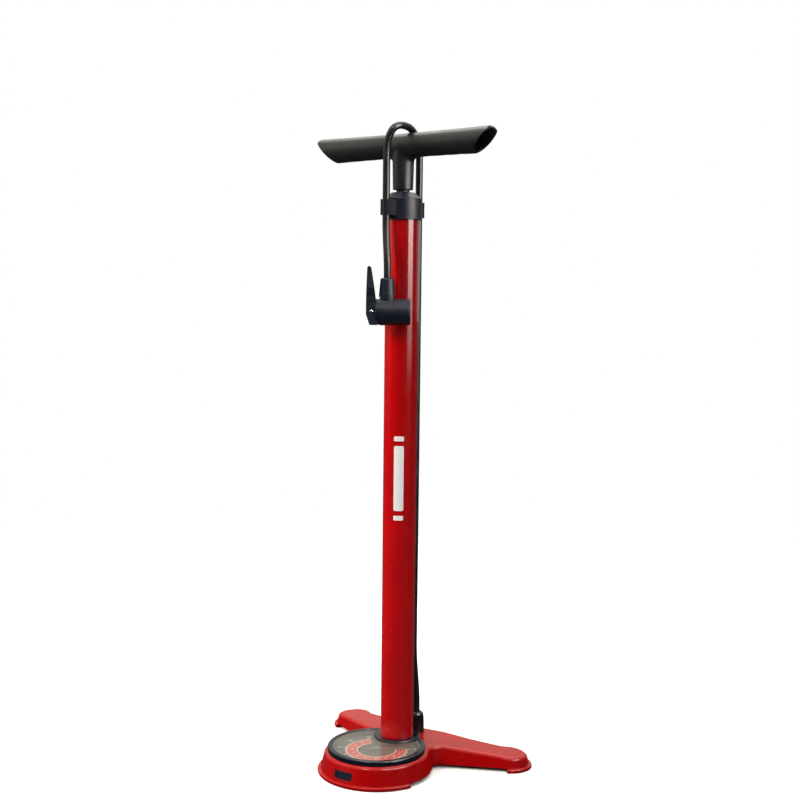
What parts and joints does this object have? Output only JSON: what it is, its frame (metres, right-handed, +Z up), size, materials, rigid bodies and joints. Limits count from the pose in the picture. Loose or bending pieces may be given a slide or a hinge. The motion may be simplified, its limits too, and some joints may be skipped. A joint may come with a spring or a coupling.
{
  "type": "floor bike pump",
  "caption": "Upright floor pump with a T handle, a clip-on hose with a thumb-lock head, a wide foot and a round pressure gauge.",
  "frame": {"origin": "on the barrel's axis at ground level", "axes": "+Z up along the barrel; -Y towards the gauge; X along the handle bar"},
  "size_m": [0.2556, 0.1811, 0.6716],
  "materials": {
    "red_paint": "gloss",
    "black_plastic": "satin",
    "grip_plastic": "satin",
    "hose_rubber": "satin",
    "seal_rubber": "matte",
    "lens_clear": "polished",
    "dial_print": "satin",
    "needle_paint": "gloss",
    "chrome_steel": "polished",
    "plain_steel": "satin",
    "brass": "satin",
    "white_plastic": "satin"
  },
  "bodies": {
    "barrel": {"foot": "red_paint", "front_plug": "black_plastic", "base_block": "black_plastic", "base_screws": "plain_steel", "valve_seat": "brass", "barrel_seal": "seal_rubber", "valve_spring": "plain_steel", "gauge_case": "black_plastic", "gauge_inlet": "brass", "bourdon_coil": "brass", "gauge_dial": "dial_print", "gauge_lens": "lens_clear", "gauge_bezel": "black_plastic", "barrel_tube": "red_paint", "top_cap": "black_plastic", "cap_gasket": "seal_rubber", "rod_bush": "white_plastic", "stroke_bumper": "seal_rubber", "hose": "hose_rubber", "hose_barb": "brass", "hose_boot": "black_plastic", "head_body": "black_plastic", "head_barb": "brass", "hose_collar": "black_plastic", "nozzle_cap": "black_plastic", "head_gasket": "seal_rubber", "lever_pin": "plain_steel"},
    "pump_rod": {"piston_rod": "chrome_steel", "piston": "white_plastic", "piston_seal": "seal_rubber", "piston_washer": "plain_steel", "piston_nut": "plain_steel", "handle": "grip_plastic", "rod_nut": "plain_steel"},
    "head_lever": {"lever": "black_plastic"},
    "head_plunger": {"plunger": "white_plastic"},
    "needle": {"gauge_needle": "needle_paint", "needle_arbor": "plain_steel"},
    "valve_disc": {"check_valve": "seal_rubber"}
  },
  "joints": [
    {"name": "pump_stroke", "type": "slide", "parent": "barrel", "child": "pump_rod", "axis": [0, 0, 1], "range_m": [0, 0.53]},
    {"name": "lever_flip", "type": "hinge", "parent": "barrel", "child": "head_lever", "pos_m": [-0.00579, -0.04385, 0.4788], "axis": [0.5892, -0.808, 0], "range_deg": [0, 90]},
    {"name": "plunger_push", "type": "slide", "parent": "barrel", "child": "head_plunger", "axis": [0.808, 0.5892, 0], "range_m": [0, 0.003]},
    {"name": "needle_turn", "type": "hinge", "parent": "barrel", "child": "needle", "pos_m": [0, -0.036, 0.0224], "axis": [0, 0, -1], "range_deg": [0, 260]},
    {"name": "valve_lift", "type": "slide", "parent": "barrel", "child": "valve_disc", "axis": [0, 0, -1], "range_m": [0, 0.0015], "deforming": ["valve_spring"]}
  ],
  "couplings": [
    {"joint": "plunger_push", "follows": "lever_flip", "m_per_rad": 0.0019099}
  ]
}
